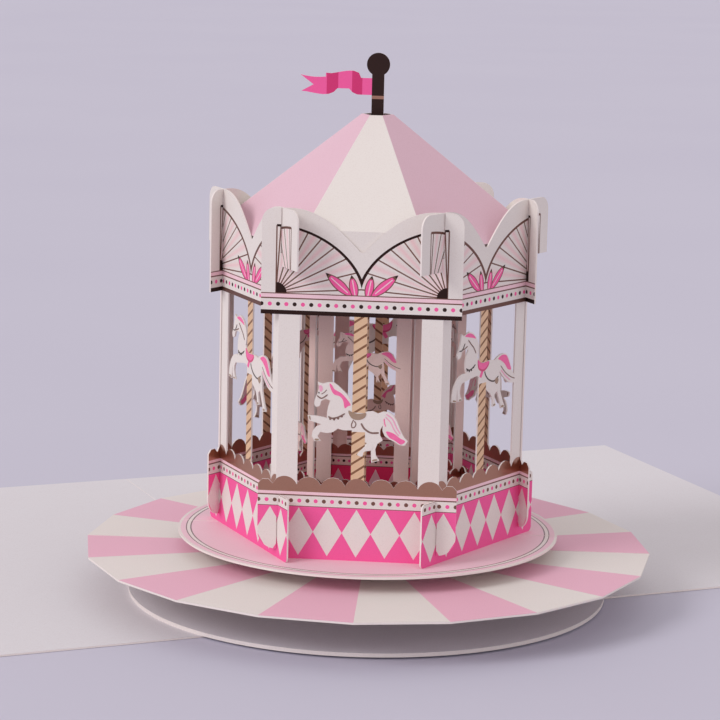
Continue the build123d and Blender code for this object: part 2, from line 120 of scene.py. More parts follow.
class CarouselPrint(bpy.types.PropertyGroup):
    """Sizes of the repeats in the print."""
    diamond_pitch: length_property("Diamond pitch", "Width of one diamond on an outer drum", 8.8 * MM)
    dot_pitch: length_property("Dot pitch", "Distance between two dots on an outer band", 2.5 * MM)
    rope_pitch: length_property("Rope pitch", "Height of one turn on a pole", 3.1 * MM)
    line_width: length_property("Line width", "Width of the fans' ribs and upright edges", 0.42 * MM)
    ink_height: length_property("Ink height", "Height of the horses' raised print", 0.05 * MM)


class CarouselStage(bpy.types.PropertyGroup):
    """Light and background."""
    floor: colour_property("Floor", "Pale floor", srgb(206, 202, 218))
    backdrop: colour_property("Backdrop", "What is seen beyond the floor", srgb(214, 211, 226))
    even_light: colour_property("Even light", "Light from all round", (0.66, 0.635, 0.63))
    key: FloatProperty(name="Key light", description="Strength of the light from the left", default=1.2,
                       min=0.0)
    fill: FloatProperty(name="Fill light", description="Strength of the light from the right", default=0.15,
                        min=0.0)


class Wire:
    """One output of a tree's nodes, with maths on its values written as plain expressions."""

    def __init__(self, nodes, socket):
        self.nodes = nodes
        self.socket = socket

    def __add__(self, other):
        return self.nodes.math("ADD", self, other)

    def __radd__(self, other):
        return self.nodes.math("ADD", other, self)

    def __sub__(self, other):
        return self.nodes.math("SUBTRACT", self, other)

    def __rsub__(self, other):
        return self.nodes.math("SUBTRACT", other, self)

    def __mul__(self, other):
        return self.nodes.math("MULTIPLY", self, other)

    def __rmul__(self, other):
        return self.nodes.math("MULTIPLY", other, self)

    def __truediv__(self, other):
        return self.nodes.math("DIVIDE", self, other)

    def __rtruediv__(self, other):
        return self.nodes.math("DIVIDE", other, self)

    def __pow__(self, other):
        return self.nodes.math("POWER", self, other)

    def __gt__(self, other):
        return self.nodes.math("GREATER_THAN", self, other)

    def __lt__(self, other):
        return self.nodes.math("LESS_THAN", self, other)

    def __abs__(self):
        return self.nodes.math("ABSOLUTE", self)

    def part(self):
        """What is left of a value above the whole number below it."""
        return self.nodes.math("FRACT", self)

    def centred(self):
        """Distance from the nearest whole number, from minus a half to a half."""
        return (self + 0.5).part() - 0.5

    def root(self):
        return self.nodes.math("SQRT", self)

    def between(self, low, high):
        return (self > low) * (self < high)

    def near(self, middle, reach):
        return self.nodes.math("COMPARE", self, middle, reach)

    def either(self, other):
        return self.nodes.math("MAXIMUM", self, other)


class Nodes:
    """Node tree that is built up from nothing."""

    def __init__(self, tree):
        self.tree = tree
        tree.nodes.clear()

    def node(self, kind, settings=None, sockets=None):
        """A node of that kind, with its settings first and then its sockets' values or links."""
        node = self.tree.nodes.new(kind)
        for key, value in (settings or {}).items():
            setattr(node, key, value)
        for key, value in (sockets or {}).items():
            socket = self.find(node.inputs, key)
            if isinstance(value, Wire):
                self.tree.links.new(value.socket, socket)
            elif isinstance(value, (int, float)) or len(value) == len(socket.default_value):
                socket.default_value = value
            else:
                socket.default_value = (*value, 1.0)
        return node

    def find(self, sockets, key):
        if isinstance(key, int):
            return sockets[key]
        return next(s for s in sockets if key in (s.identifier, s.name))

    def wire(self, node, key=0):
        return Wire(self, self.find(node.outputs, key))

    def math(self, operation, *values):
        return self.wire(self.node("ShaderNodeMath", {"operation": operation}, dict(enumerate(values))))

    def dot(self, vector, direction):
        """How far a vector goes in a direction."""
        node = self.node("ShaderNodeVectorMath", {"operation": "DOT_PRODUCT"}, {0: vector, 1: direction})
        return self.wire(node, "Value")

    def mix(self, mask, below, above, blend="MIX"):
        """Colour above laid over the colour below where the mask is one."""
        node = self.node("ShaderNodeMix", {"data_type": "RGBA", "blend_type": blend},
                         {"Factor_Float": mask, "A_Color": below, "B_Color": above})
        return self.wire(node, "Result_Color")


# Card as a surface. Fibres and clouds are noise, each with a scale, a detail and a roughness. Shine is the
# share of metal in what isn't all foil.
FIBRES = (2600, 4.0, 0.6)
CLOUDS = (55, 3.0, 0.5)
CLOUD_TINT = srgb(232, 220, 222)
CLOUD_SHARE = 0.10
SPECK_TINT = srgb(226, 214, 212)
SPECK_SHARE = 0.14
SPECK_LEVEL = 0.56
CARD_SPECULAR = 0.3
CARD_ROUGHNESS = 0.50
FIBRE_ROUGHNESS = 0.22
FOIL_ROUGHNESS = 0.24
CLOUD_ROUGHNESS = 0.16
FIBRE_RELIEF = 0.6
CLOUD_RELIEF = 0.4
RELIEF_STRENGTH = 0.25
RELIEF_DEPTH = 0.08 * MM
POLE_SHINE = 0.3
ARCH_SHINE = 0.5
MAST_SHINE = 0.3


class Finish(Nodes):
    """Procedural material of one piece."""

    def __init__(self, name):
        self.material = bpy.data.materials.new(name)
        self.material.use_nodes = True
        super().__init__(self.material.node_tree)
        self.inks = bpy.context.scene.carousel_inks
        self.sizes = bpy.context.scene.carousel_print
        self.place = self.wire(self.node("ShaderNodeTexCoord"), "Object")
        self.normal = self.wire(self.node("ShaderNodeNewGeometry"), "True Normal")

    def noise(self, scale, detail=2.0, rough=0.5):
        node = self.node("ShaderNodeTexNoise", {}, {"Vector": self.place, "Scale": scale, "Detail": detail,
                                                    "Roughness": rough})
        return self.wire(node, "Fac")

    def turn(self):
        """Angle about the carousel's axis, in whole turns."""
        angle = self.math("ARCTAN2", self.dot(self.place, (0, 1, 0)), self.dot(self.place, (1, 0, 0)))
        return angle / radians(360)

    def paper(self, colour, shine=None, relief=None):
        """Ends the finish as card with fibres, and with foil where shine is one."""
        fibres = self.noise(*FIBRES)
        clouds = self.noise(*CLOUDS)
        shaded = self.mix(clouds * CLOUD_SHARE, colour, CLOUD_TINT, "MULTIPLY")
        speckled = self.mix((fibres > SPECK_LEVEL) * SPECK_SHARE, shaded, SPECK_TINT, "MULTIPLY")
        roughness = CARD_ROUGHNESS + fibres * FIBRE_ROUGHNESS
        height = fibres * FIBRE_RELIEF + clouds * CLOUD_RELIEF
        sockets = {"Base Color": speckled, "Specular IOR Level": CARD_SPECULAR}
        if shine is not None:
            roughness = roughness * (1 - shine) + (FOIL_ROUGHNESS + clouds * CLOUD_ROUGHNESS) * shine
            sockets["Metallic"] = shine
        if relief is not None:
            height = height + relief
        bump = self.node("ShaderNodeBump", {}, {"Strength": RELIEF_STRENGTH, "Distance": RELIEF_DEPTH,
                                                "Height": height})
        sockets.update({"Roughness": roughness, "Normal": self.wire(bump)})
        shader = self.node("ShaderNodeBsdfPrincipled", {}, sockets)
        self.node("ShaderNodeOutputMaterial", {}, {"Surface": self.wire(shader)})
        return self.material


def dress(node, material):
    """Gives a CAD node's object its finish."""
    for slot in NODES[node].material_slots:
        slot.material = material


def panel_places():
    """Place, angle and kind of each side of the rings, from the front round by the right. Outer panels are
    plain on the even sides and hooked on the odd ones."""
    for index, place in enumerate(PLACES):
        yield place, FRONT_ANGLE + index * SIDE_ANGLE, ("even", "odd")[index % 2]


class PanelCoordinates:
    """Millimetres along a panel, from its middle and up from the floor plate, and a mask of its faces."""

    def __init__(self, finish, angle):
        out = (cos(radians(angle)), sin(radians(angle)), 0)
        along = (-sin(radians(angle)), cos(radians(angle)), 0)
        self.u = finish.dot(finish.place, along) / MM
        self.a = abs(self.u)
        self.w = finish.dot(finish.place, UP) / MM - PLATE_TOP / MM
        self.face = abs(finish.dot(finish.normal, out)) > FACING


# Prints of the panels, in millimetres up from the floor plate. A row is an ink with its lower and upper edge.
# Dots have a level, a radius and the ink of every other one. The repeat is a share of the pitches.
OUTER_DRUM = {
    "ground": "hot_pink", "diamond": "white", "diamonds": (1.1, 16.0), "repeat": 1.0,
    "rows": [("white", 16.4, 19.6), ("line", 16.3, 16.5), ("line", 19.6, 20.0), ("pale_pink", 20.0, 20.9)],
    "dots": (18.1, 0.62, "line"), "foil": 20.9, "valley": 23.1, "crest": 25.6, "scallop": 7.36,
}
# The inner rings' crimson ground and warm white are print with painted shade and pink bounce light from
# inside the carousel
INNER_DRUM = {
    "ground": "shaded_crimson", "diamond": "pale_pink", "diamonds": (0.8, 13.5), "repeat": 0.7,
    "rows": [("pink_lit_white", 14.4, 17.2), ("line", 14.3, 14.5), ("line", 17.2, 17.5),
             ("pale_pink", 17.5, 18.2)],
    "dots": (15.9, 0.46, "dark"), "foil": 18.2, "valley": 20.0, "crest": 21.6, "scallop": 5.0,
}
OUTER_HEAD = {
    "from": 75.2,
    "rows": [("white", 75.0, 79.9), ("line", 79.9, 80.3), ("pale_pink", 80.3, 81.4), ("line", 81.4, 81.7)],
    "dots": (78.3, 0.62, "dark"), "repeat": 1.0,
}
INNER_HEAD = {
    "from": 75.8,
    "rows": [("dark", 75.8, 77.0), ("pink_lit_white", 77.0, 79.6), ("line", 79.6, 79.9),
             ("pale_pink", 79.9, 80.8), ("line", 80.8, 81.0)],
    "dots": (78.3, 0.46, "dark"), "repeat": 0.7,
}

# Poles and horses of the two rings. A horse's saddle is at its level, and its body hides the pole in the gap.
OUTER_RING = {
    "apothem": 47.8 * cos(radians(SIDE_ANGLE / 2)), "scale": 1.0, "pole": (23.0, 75.2), "pole_half": 2.05,
    "even": {"horse": "gallop", "level": 45.0, "gap": (40.1, 46.0)},
    "odd": {"horse": "leap", "level": 58.3, "gap": (52.6, 59.1)},
}
INNER_RING = {
    "apothem": 29.6 * cos(radians(SIDE_ANGLE / 2)), "scale": 0.6, "pole": (20.0, 76.0), "pole_half": 1.25,
    "even": {"horse": "leap", "level": 61.0, "gap": (57.6, 61.5)},
    "odd": {"horse": "gallop", "level": 36.0, "gap": (33.1, 36.6)},
}
ROPE_SLANT = 0.68
ROPE_GROOVE = 0.25
ROPE_CREST = 0.62

# Fans of the canopies, on both sides of a panel's middle. A canopy has its hubs' distance from the middle,
# and the ink of its hubs, arches and strip.
# Hubs, arches and strip are one foil, painted near black on the plain canopies and lighter brown on the
# hooked ones as painted reflection
CANOPIES = {"even": (25.7, "dark"), "odd": (30.7, "line")}
STRIP = (75.0, 76.5)
HUB_RADIUS = 3.2
FAN_LEVEL = 81.7
FAN_HEIGHT = 20.3
FAN_POWER = 1.8
FAN_SHIFT = 0.1
FAN_OVERRUN = 0.8
ARCH_REACH = 0.032
RIB_ANGLE = 11.8
FIRST_RIB = 3.9
WEDGE_FALL = 3.2

# A leaf has its base, its tip and half its width. The vein's span and the tips are shares of its length.
LEAVES = [((2.4, 80.9), (10.9, 88.2), 1.6), ((1.6, 80.0), (3.1, 87.8), 1.4)]
LEAF_EDGE = 0.3
VEIN_HALF = 0.16
VEIN_SPAN = (0.2, 0.8)
BROWN_TIP = 0.84
DARK_TIP = 0.9


def band_print(finish, at, colour, print_sizes):
    """Rows of ink along the panel, and dots that are dark and pink in turn."""
    inks = finish.inks
    for ink, low, high in print_sizes["rows"]:
        colour = finish.mix(at.w.between(low, high), colour, getattr(inks, ink))
    middle, radius, dark_ink = print_sizes["dots"]
    pitch = finish.sizes.dot_pitch / MM * print_sizes["repeat"]
    across = (at.u / pitch).centred() * pitch
    dot = (across * across + (at.w - middle) * (at.w - middle)) < radius * radius
    dark = (at.u / (2 * pitch) + 0.25).part() < 0.5
    return finish.mix(dot, colour, finish.mix(dark, inks.hot_pink, getattr(inks, dark_ink)))


def drum_print(finish, at, colour, drum):
    """Diamonds, dots, a pale row and foil scallops, going up. Gives the colour and the foil's mask."""
    inks = finish.inks
    low, high = drum["diamonds"]
    pitch = finish.sizes.diamond_pitch / MM * drum["repeat"]
    across = abs((at.u / pitch).centred()) * 2
    diamond = (across + abs(at.w - (low + high) / 2) / ((high - low) / 2)) < 1
    ground = finish.mix(diamond, getattr(inks, drum["ground"]), getattr(inks, drum["diamond"]))
    colour = finish.mix(at.w < drum["rows"][0][1], colour, ground)
    colour = band_print(finish, at, colour, drum)
    rise, chord = drum["crest"] - drum["valley"], drum["scallop"]
    radius = (chord * chord / 4 + rise * rise) / (2 * rise)
    over = (at.u / chord).centred() * chord
    edge = (radius * radius - over * over).root() + (drum["crest"] - radius)
    foil = (at.w > drum["foil"]) * (at.w < edge)
    return finish.mix(foil, colour, inks.foil), foil


def pole_print(finish, at, colour, ring, side):
    """Rope turns on the pole, above and below the horse's body. Gives the colour, the mask and the relief."""
    inks = finish.inks
    foot, head = ring["pole"]
    low, high = ring[side]["gap"]
    pole = (at.a < ring["pole_half"]) * at.w.between(foot, low).either(at.w.between(high, head))
    turn = ((at.w - at.u * ROPE_SLANT) / (finish.sizes.rope_pitch / MM)).part()
    colour = finish.mix(pole, colour, finish.mix(turn < ROPE_GROOVE, inks.rope, inks.rope_shade))
    return colour, pole, pole * abs(turn - ROPE_CREST) * 2


def leaf_print(finish, at, colour, base, tip, half_width):
    """Pointed leaf on both sides of the panel's middle, with a pale vein and dark edges and tip."""
    inks = finish.inks
    run, rise = tip[0] - base[0], tip[1] - base[1]
    length = hypot(run, rise)
    over, up = at.a - base[0], at.w - base[1]
    along = (over * (run / length) + up * (rise / length)) / length
    across = abs(over * (rise / length) - up * (run / length))
    reach = along * (1 - along) * (4 * half_width)
    leaf = (across < reach) * (at.w > FAN_LEVEL)
    ink = finish.mix((across > reach - LEAF_EDGE).either(along > BROWN_TIP), inks.hot_pink, inks.line)
    ink = finish.mix((across < VEIN_HALF) * along.between(*VEIN_SPAN), ink, inks.pale_pink)
    return finish.mix(leaf, colour, finish.mix(along > DARK_TIP, ink, inks.dark))


def canopy_print(finish, at, side):
    """Strip, dots, two ribbed fans and four leaves. Gives the colour and a mask of hubs, arches and strip."""
    inks = finish.inks
    hub, ink = CANOPIES[side]
    line = finish.sizes.line_width / MM
    over, up = hub - at.a, at.w - FAN_LEVEL
    fan = abs((over + FAN_SHIFT) / (hub + FAN_OVERRUN)) ** FAN_POWER + abs(up / FAN_HEIGHT) ** FAN_POWER
    field = (over > 0) * (up > 0)
    inside = field * (fan < 1)
    spread = finish.math("ARCTAN2", up, over) / radians(RIB_ANGLE) - FIRST_RIB / RIB_ANGLE
    distance = (over * over + up * up).root()
    wedge = (1 - abs(spread.part() - 0.5) * WEDGE_FALL).either(0.0)
    rib = (abs(spread.centred()) * distance * radians(RIB_ANGLE)) < line / 2
    colour = finish.mix(inside * wedge, inks.white, inks.blush)
    colour = finish.mix(inside * rib, colour, inks.line)
    colour = finish.mix(over.near(0, line / 2) * up.between(0, FAN_HEIGHT), colour, inks.line)
    for base, tip, half_width in LEAVES:
        colour = leaf_print(finish, at, colour, base, tip, half_width)
    colour = band_print(finish, at, colour, OUTER_HEAD)
    arch = field * fan.near(1.0, ARCH_REACH).either(distance < HUB_RADIUS)
    arch = arch.either(at.w.between(*STRIP))
    # The arch ink is painted reflection of one foil: near black on plain canopies, lighter brown on hooked
    # ones
    return finish.mix(arch, colour, getattr(inks, ink)), arch


class POPUP_OT_outer_panels(bpy.types.Operator):
    """Prints the six outer panels: diamonds, dots, foil scallops, rope poles and ribbed fans"""
    bl_idname = "popup.outer_panels"
    bl_label = "Print the outer panels"

    def execute(self, context):
        for place, angle, side in panel_places():
            finish = Finish(f"outer_panel_print_{place}")
            inks = finish.inks
            at = PanelCoordinates(finish, angle)
            colour, pole, turns = pole_print(finish, at, inks.white, OUTER_RING, side)
            colour, foil = drum_print(finish, at, colour, OUTER_DRUM)
            canopy, arch = canopy_print(finish, at, side)
            colour = finish.mix(at.w > OUTER_HEAD["from"], colour, canopy)
            colour = finish.mix(at.face, inks.core, colour)
            shine = foil.either(pole * POLE_SHINE).either(arch * ARCH_SHINE) * at.face
            dress(f"outer_panel_{place}", finish.paper(colour, shine, turns))
        return {"FINISHED"}


class POPUP_OT_inner_panels(bpy.types.Operator):
    """Prints the six inner panels with a smaller repeat"""
    bl_idname = "popup.inner_panels"
    bl_label = "Print the inner panels"

    def execute(self, context):
        for place, angle, side in panel_places():
            finish = Finish(f"inner_panel_print_{place}")
            inks = finish.inks
            at = PanelCoordinates(finish, angle)
            # The inner panels' warm white and crimson paint the shade and pink bounce light inside the
            # carousel
            colour, pole, turns = pole_print(finish, at, inks.pink_lit_white, INNER_RING, side)
            colour, foil = drum_print(finish, at, colour, INNER_DRUM)
            head = band_print(finish, at, inks.pink_lit_white, INNER_HEAD)
            colour = finish.mix(at.w > INNER_HEAD["from"], colour, head)
            colour = finish.mix(at.face, inks.core, colour)
            shine = foil.either(pole * POLE_SHINE) * at.face
            dress(f"inner_panel_{place}", finish.paper(colour, shine, turns))
        return {"FINISHED"}


# Roof, with half a narrow face and half a fold's line in degrees about the axis
ROOF_PAIRS = 3
NARROW_HALF = 23.25
ROOF_FACING = 0.2
FOLD_HALF = 0.3
FOLD_TINT = 0.6
FOLD_RELIEF = 0.5


class POPUP_OT_roof(bpy.types.Operator):
    """Colours the roof's wide faces pink and leaves the narrow ones white"""
    bl_idname = "popup.roof"
    bl_label = "Print the roof"

    def execute(self, context):
        finish = Finish("roof_print")
        inks = finish.inks
        turned = abs(((finish.turn() - FRONT_ANGLE / 360) * ROOF_PAIRS).centred()) * (360 / ROOF_PAIRS)
        outside = finish.dot(finish.normal, UP) > ROOF_FACING
        fold = turned.near(NARROW_HALF, FOLD_HALF) * outside
        colour = finish.mix(outside * (turned > NARROW_HALF), inks.white, inks.roof_pink)
        colour = finish.mix(fold * FOLD_TINT, colour, inks.core)
        dress("roof", finish.paper(colour, relief=fold * FOLD_RELIEF))
        return {"FINISHED"}


# Mast, in millimetres along its sheet and up from the floor plate
MAST_FOOT = 125
MAST_HALF = 4.0
POST_HALF = 1.9
RING_LEVEL = 137.4
RING_HALF = 0.5
FINIAL_LEVEL = 147.6
FINIAL_RADIUS = 3.7
FLAG_SPAN = (136, 146)
FAR_FOLD = (-16.0, -12.4)
NEAR_FOLD = (-8.1, -4.9)


class POPUP_OT_mast(bpy.types.Operator):
    """Colours the mast, its finial and its flag"""
    bl_idname = "popup.mast"
    bl_label = "Print the mast and the flag"

    def execute(self, context):
        finish = Finish("mast_print")
        inks = finish.inks
        at = PanelCoordinates(finish, FRONT_ANGLE)
        mast = (at.w > MAST_FOOT) * (at.a < MAST_HALF)
        colour = finish.mix(mast, inks.white, inks.dark)
        ring = at.w.near(RING_LEVEL, RING_HALF) * (at.a < POST_HALF)
        colour = finish.mix(ring, colour, inks.foil)
        folds = at.u.between(*FAR_FOLD).either(at.u.between(*NEAR_FOLD))
        up = at.w - FINIAL_LEVEL
        ball = (at.u * at.u + up * up) < FINIAL_RADIUS * FINIAL_RADIUS
        flag = at.w.between(*FLAG_SPAN) * (at.u < -POST_HALF) * (1 - ball)
        colour = finish.mix(flag, colour, finish.mix(folds, inks.hot_pink, inks.deep_pink))
        colour = finish.mix(at.face, inks.core, colour)
        dress("mast", finish.paper(colour, ring.either(mast * (1 - flag) * MAST_SHINE) * at.face))
        return {"FINISHED"}


# Disc with pairs of sectors, and plate with a pale rim and two foil lines. A line has its distance from the
# plate's edge and half its width.
DISC_PAIRS = 10
PALE_RIM = 0.8
RIM_LINES = ((2.6, 0.16), (4.0, 0.2))


class POPUP_OT_floor(bpy.types.Operator):
    """Prints the striped disc and the round floor plate"""
    bl_idname = "popup.floor"
    bl_label = "Print the disc and the plate"

    def execute(self, context):
        finish = Finish("disc_stripes")
        inks = finish.inks
        level = finish.dot(finish.normal, UP) > FACING
        sector = ((finish.turn() - (DISC_TURN + 180) / 360) * DISC_PAIRS).part()
        colour = finish.mix(sector < 0.5, inks.white, inks.disc_pink)
        colour = finish.mix(level, inks.core, colour)
        dress("striped_disc", finish.paper(colour))

        finish = Finish("plate_pink")
        level = finish.dot(finish.normal, UP) > FACING
        x, y = finish.dot(finish.place, (1, 0, 0)), finish.dot(finish.place, (0, 1, 0))
        rim = (PLATE_RADIUS - (x * x + y * y).root()) / MM
        outer, inner = RIM_LINES
        pale = (rim < PALE_RIM).either(rim.between(outer[0], inner[0]))
        colour = finish.mix(pale, inks.plate_pink, inks.white)
        lines = rim.near(*outer).either(rim.near(*inner))
        colour = finish.mix(lines, colour, inks.line)
        colour = finish.mix(level, inks.core, colour)
        dress("floor_plate", finish.paper(colour, lines * level))
        return {"FINISHED"}


class POPUP_OT_white_card(bpy.types.Operator):
    """Gives the card sheet, the round base, the strips and the rib their white card"""
    bl_idname = "popup.white_card"
    bl_label = "Finish the white card"

    def execute(self, context):
        for node in ("card_sheet", "round_base", "disc_riser", "plate_riser", "roof_rib"):
            finish = Finish(f"{node}_white")
            upright = abs(finish.dot(finish.normal, UP)) < FACING
            colour = finish.mix(upright, finish.inks.card_white, finish.inks.core)
            dress(node, finish.paper(colour))
        return {"FINISHED"}


# Prints on the horses, in millimetres from the pole and up from the saddle. A patch is a closed smooth
# outline, a strap is a line with a width, and beads are round spots.
GALLOP = {
    "patches": [
        ("hot_pink", [(-9.0, 9.6), (-8.3, 9.2), (-7.4, 7.9), (-5.4, 6.8), (-3.8, 5.2), (-2.5, 3.4),
                      (-3.3, 2.9), (-4.3, 2.3), (-4.8, 4.5), (-5.8, 5.8), (-7.6, 6.4), (-8.6, 8.0)]),
        ("rose", [(-12.1, 8.9), (-11.3, 8.8), (-11.0, 7.8), (-11.5, 7.0), (-12.0, 7.5)]),
        ("hot_pink", [(8.4, -4.4), (9.4, -6.2), (11.1, -7.1), (12.9, -8.2), (14.2, -7.2), (12.6, -6.3),
                      (10.6, -4.9)]),
        ("saddle", [(-3.1, 1.6), (-1.6, 1.0), (0.0, 0.7), (2.2, 1.0), (1.8, -0.4), (0.0, -1.2), (-1.8, -0.9),
                    (-2.8, 0.2)]),
        ("white", [(2.9, -8.6), (0.7, -10.6), (-0.2, -11.9), (1.3, -12.4), (1.9, -10.9), (3.9, -10.4),
                   (4.4, -9.0)]),
        ("saddle", [(-0.2, -11.6), (1.5, -11.9), (1.4, -12.5), (-0.3, -12.0)]),
        ("saddle", [(4.5, -13.3), (5.6, -13.0), (6.0, -13.4), (4.5, -13.8)]),
        ("saddle", [(-13.1, -7.5), (-12.1, -7.5), (-11.9, -7.9), (-13.0, -8.0)]),
        ("saddle", [(-14.5, -1.7), (-14.8, -1.6), (-15.1, -0.7), (-14.7, -0.6)]),
    ],
    "straps": [
        ("line", 0.45, [(-9.2, -0.5), (-8.0, -1.0), (-6.0, -0.5), (-4.2, 0.6)]),
        ("line", 0.55, [(0.8, -2.2), (1.8, -3.8), (3.8, -5.0), (6.2, -4.9)]),
        ("line", 0.32, [(-1.5, -1.2), (-2.1, -2.6), (-1.9, -3.6), (-1.1, -3.4), (-0.8, -2.4), (-1.3, -1.6)]),
        ("line", 0.38, [(-12.7, 5.8), (-11.3, 5.0), (-9.5, 6.2)]),
        ("line", 0.22, [(-11.4, 6.3), (-10.6, 6.8), (-9.8, 7.7)]),
        ("dark", 0.45, [(-12.3, 6.6), (-12.0, 6.8)]),
        ("rose", 0.4, [(8.3, 0.9), (10.2, -0.5), (11.4, -2.9), (12.7, -5.0)]),
        ("rose", 0.35, [(8.1, 0.0), (9.6, -1.5), (10.8, -3.8), (12.2, -5.6)]),
        ("hot_pink", 0.3, [(7.7, -0.5), (7.8, -1.6), (8.2, -2.9)]),
    ],
    "beads": [("line", 0.36, [(-8.6, -1.2), (-7.4, -1.3), (-6.2, -1.0), (-5.1, -0.3)])],
}
LEAP = {
    "patches": [
        ("hot_pink", [(-10.6, 10.2), (-8.5, 10.9), (-6.0, 10.1), (-4.6, 8.8), (-6.2, 9.2), (-8.2, 9.6)]),
        ("hot_pink", [(8.6, 0.7), (10.8, 1.6), (13.4, 1.1), (15.0, -1.1), (16.3, -3.6), (14.4, -3.3),
                      (12.5, -1.4), (10.4, -0.1)]),
        ("deep_pink", [(-3.1, 1.9), (-1.6, 1.0), (0.0, 0.6), (3.3, 0.7), (2.8, -0.9), (0.3, -2.1),
                       (-2.5, -1.0)]),
        ("hot_pink", [(-2.9, 1.8), (-1.6, 0.9), (0.0, 0.5), (3.1, 0.6), (2.3, -0.6), (0.3, -1.4),
                      (-2.2, -0.6)]),
        ("saddle", [(6.9, -6.0), (8.0, -5.1), (9.1, -5.9), (8.2, -7.2)]),
        ("saddle", [(12.2, -14.4), (12.7, -14.9), (11.5, -15.1), (11.2, -14.6)]),
        ("saddle", [(7.4, -13.3), (7.6, -13.7), (6.7, -13.9), (6.6, -13.4)]),
        ("saddle", [(-12.0, -9.0), (-11.7, -9.3), (-12.9, -9.4), (-13.0, -9.0)]),
        ("saddle", [(-14.9, -9.0), (-14.9, -9.4), (-16.4, -9.1), (-16.3, -8.7)]),
    ],
    "straps": [
        ("line", 0.32, [(-8.8, 8.8), (-7.2, 7.4), (-5.6, 6.0), (-4.3, 4.2)]),
        ("dark", 0.42, [(-9.5, 0.1), (-7.8, -0.6), (-6.0, -0.2), (-4.4, 0.7)]),
        ("dark", 0.45, [(1.0, -2.2), (1.7, -3.6), (3.6, -5.2), (6.6, -6.0), (9.0, -4.8)]),
        ("hot_pink", 1.2, [(-0.3, -1.9), (-0.8, -2.8), (-1.4, -3.7)]),
        ("dark", 0.34, [(-13.6, 6.0), (-12.0, 6.1), (-10.6, 8.0)]),
        ("line", 0.32, [(-12.0, 6.1), (-10.4, 6.5), (-9.2, 7.0)]),
        ("line", 0.3, [(10.2, -1.7), (13.0, -4.2), (16.2, -6.0), (18.6, -6.8)]),
        ("rose", 0.4, [(10.4, -3.0), (13.0, -5.2), (16.0, -7.0)]),
    ],
    "beads": [("dark", 0.34, [(-8.9, -0.5), (-7.8, -0.9), (-6.6, -0.7), (-5.4, 0.0)])],
}
HORSES = {"gallop": GALLOP, "leap": LEAP}
HORSE_INKS = ["hot_pink", "deep_pink", "rose", "saddle", "dark", "line", "white"]
CURVE_STEPS = 5
STRAP_TAPER = 0.7
INK_GRAIN = 900
INK_FADE = 0.16

# Spots that lap over each other lie at different levels, a share of the ink's height apart
PRINT_LEVELS = 5
PRINT_STEP = 0.25


def smooth(points, closed):
    """Points along a smooth curve through the given ones. A handle is a sixth of its neighbours' distance."""
    count = len(points)
    knots = [Vector((u, w, 0)) for u, w in points]

    def slope(i):
        if closed:
            return (knots[(i + 1) % count] - knots[i - 1]) / 6
        return (knots[min(i + 1, count - 1)] - knots[max(i - 1, 0)]) / 6

    made = []
    for i in range(count if closed else count - 1):
        j = (i + 1) % count
        handles = knots[i] + slope(i), knots[j] - slope(j)
        made += interpolate_bezier(knots[i], *handles, knots[j], CURVE_STEPS)[:-1]
    return made if closed else made + [knots[-1]]


def strap_outline(points, width):
    """Closed outline of a line that is tapered a little at its ends."""
    line = smooth(points, False)
    left, right = [], []
    for i, point in enumerate(line):
        run = (line[min(i + 1, len(line) - 1)] - line[max(i - 1, 0)]).normalized()
        half = width / 2 * (STRAP_TAPER if i in (0, len(line) - 1) else 1.0)
        side = Vector((-run.y, run.x, 0)) * half
        left.append(point + side)
        right.append(point - side)
    return left + right[::-1]


def horse_outlines(horse):
    """Ink and closed outline of each spot of print on a horse."""
    outlines = [(ink, smooth(points, True)) for ink, points in horse["patches"]]
    outlines += [(ink, strap_outline(points, width)) for ink, width, points in horse["straps"]]
    for ink, radius, middles in horse["beads"]:
        for u, w in middles:
            ring = [(u + radius, w), (u, w + radius), (u - radius, w), (u, w - radius)]
            outlines.append((ink, smooth(ring, True)))
    return outlines


def raise_print(mesh, outline, low, high, material_index):
    """Adds a thin plate with that outline, from one height over the sheet to another."""
    bottom = [mesh.verts.new((p.x, p.y, low)) for p in outline]
    top = [mesh.verts.new((p.x, p.y, high)) for p in outline]
    faces = [mesh.faces.new(top), mesh.faces.new(bottom[::-1])]
    for i in range(len(outline)):
        j = (i + 1) % len(outline)
        faces.append(mesh.faces.new((bottom[i], bottom[j], top[j], top[i])))
    for face in faces:
        face.material_index = material_index


